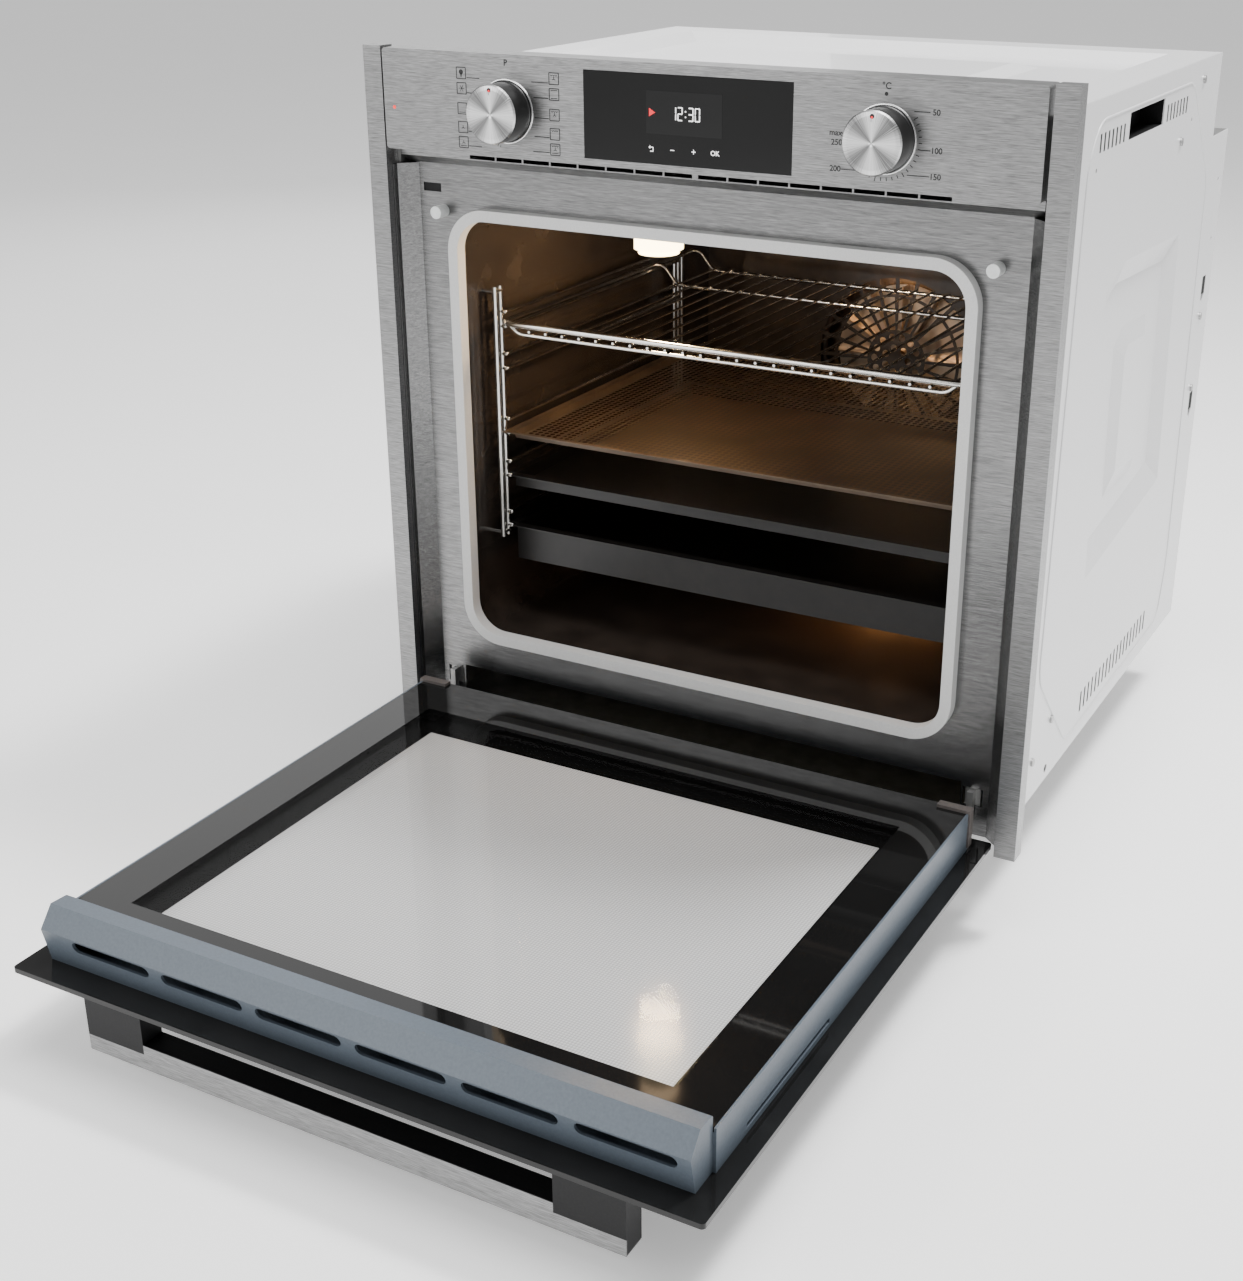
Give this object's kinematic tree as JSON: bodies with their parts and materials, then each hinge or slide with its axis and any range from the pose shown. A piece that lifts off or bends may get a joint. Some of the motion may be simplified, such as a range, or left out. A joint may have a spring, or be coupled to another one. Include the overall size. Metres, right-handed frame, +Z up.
{
  "type": "wall oven",
  "caption": "Built-in electric wall oven with its drop-down glass door open, showing racks, wire shelf, trays, control knobs and a display.",
  "frame": {"origin": "middle of the base panel's front edge: on the underside, in the plane of the cabinet's front edges", "axes": "+Z up, +X to the right of someone facing the oven, +Y from the front to the back"},
  "size_m": [0.595, 1.0604, 0.6417],
  "materials": {
    "enamel_white": "light grey satin coated sheet",
    "steel": "fine horizontal brushing",
    "zinc": "plain zinc-coated steel",
    "chrome": "bright plated wire",
    "cavity_enamel": "dark brown glossy vitreous enamel",
    "tray_enamel": "black glossy vitreous enamel",
    "black_plastic": "satin black",
    "knob_metal": "spun face, dark satin side",
    "rail_plastic": "blue-grey satin",
    "taupe_plastic": "satin taupe",
    "white_plastic": "natural white",
    "gasket": "light grey woven and silicone seal",
    "dark_glass": "black printed glass",
    "window_glass": "reflective coated pane with a printed border",
    "display_glass": "gloss black",
    "lamp_glass": "clear, heat-proof",
    "red_lens": "clear red",
    "board": "printed circuit board",
    "wool": "mineral wool",
    "heater": "dark oxidised sheath",
    "aluminium": "plain"
  },
  "bodies": {
    "oven": {"side_trim_left": "steel", "side_trim_right": "steel", "mounting_flanges": "zinc", "side_panel_left": "enamel_white", "side_panel_right": "enamel_white", "grip_cups": "black_plastic", "top_panel": "enamel_white", "base_panel": "zinc", "rear_bulkhead": "zinc", "rear_cover": "zinc", "cable_gland": "black_plastic", "terminal_block": "white_plastic", "control_fascia": "steel", "indicator_lens": "red_lens", "display_glass": "display_glass", "control_board": "board", "panel_carrier": "zinc", "rotary_selectors": "white_plastic", "vent_strip": "steel", "front_frame": "steel", "cavity_gasket": "gasket", "door_bumpers": "white_plastic", "door_switch": "black_plastic", "cavity_liner": "cavity_enamel", "insulation": "wool", "duct_floor": "zinc", "lamp_holder": "white_plastic", "lamp_glass": "lamp_glass", "lamp_bulb": "lamp_glass", "fan_cover": "cavity_enamel", "fan_motor": "zinc", "ring_heater": "heater", "grill_element": "heater", "floor_heater": "heater", "blower_housing": "zinc", "blower_motor": "zinc", "rack_left": "chrome", "rack_right": "chrome", "hinge_arms": "zinc", "hinge_receivers": "zinc", "casing_screws": "zinc"},
    "door": {"hinge_yokes": "zinc", "door_outer_glass": "dark_glass", "door_middle_glass": "window_glass", "door_inner_glass": "window_glass", "pane_spacers": "black_plastic", "door_top_rail": "rail_plastic", "door_side_rails": "rail_plastic", "door_bottom_rail": "rail_plastic", "hinge_covers": "taupe_plastic", "handle_core": "black_plastic", "handle_face": "steel"},
    "function_knob": {"function_knob": "knob_metal"},
    "temperature_knob": {"temperature_knob": "knob_metal"},
    "wire_shelf": {"wire_shelf": "chrome"},
    "perforated_tray": {"perforated_tray": "chrome"},
    "shallow_tray": {"shallow_tray": "tray_enamel"},
    "deep_tray": {"deep_tray": "tray_enamel"},
    "convection_fan": {"convection_fan": "zinc"},
    "blower_wheel": {"blower_wheel": "aluminium"}
  },
  "joints": [
    {"name": "door_hinge", "type": "hinge", "parent": "oven", "child": "door", "pos_m": [0, -0.0246, 0.0152], "axis": [1, 0, 0], "range_deg": [-90, 0]},
    {"name": "function_knob_turn", "type": "hinge", "parent": "oven", "child": "function_knob", "pos_m": [-0.159, -0.03, 0.543], "axis": [0, 1, 0], "continuous": true},
    {"name": "temperature_knob_turn", "type": "hinge", "parent": "oven", "child": "temperature_knob", "pos_m": [0.159, -0.03, 0.543], "axis": [0, 1, 0], "range_deg": [0, 290]},
    {"name": "wire_shelf_slide", "type": "slide", "parent": "oven", "child": "wire_shelf", "axis": [0, -1, 0], "range_m": [0, 0.26]},
    {"name": "perforated_tray_slide", "type": "slide", "parent": "oven", "child": "perforated_tray", "axis": [0, -1, 0], "range_m": [0, 0.26]},
    {"name": "shallow_tray_slide", "type": "slide", "parent": "oven", "child": "shallow_tray", "axis": [0, -1, 0], "range_m": [0, 0.26]},
    {"name": "deep_tray_slide", "type": "slide", "parent": "oven", "child": "deep_tray", "axis": [0, -1, 0], "range_m": [0, 0.26]},
    {"name": "convection_fan_spin", "type": "hinge", "parent": "oven", "child": "convection_fan", "pos_m": [0, 0.45, 0.258], "axis": [0, 1, 0], "continuous": true},
    {"name": "blower_spin", "type": "hinge", "parent": "oven", "child": "blower_wheel", "pos_m": [0, 0.345, 0.524], "axis": [1, 0, 0], "continuous": true}
  ]
}
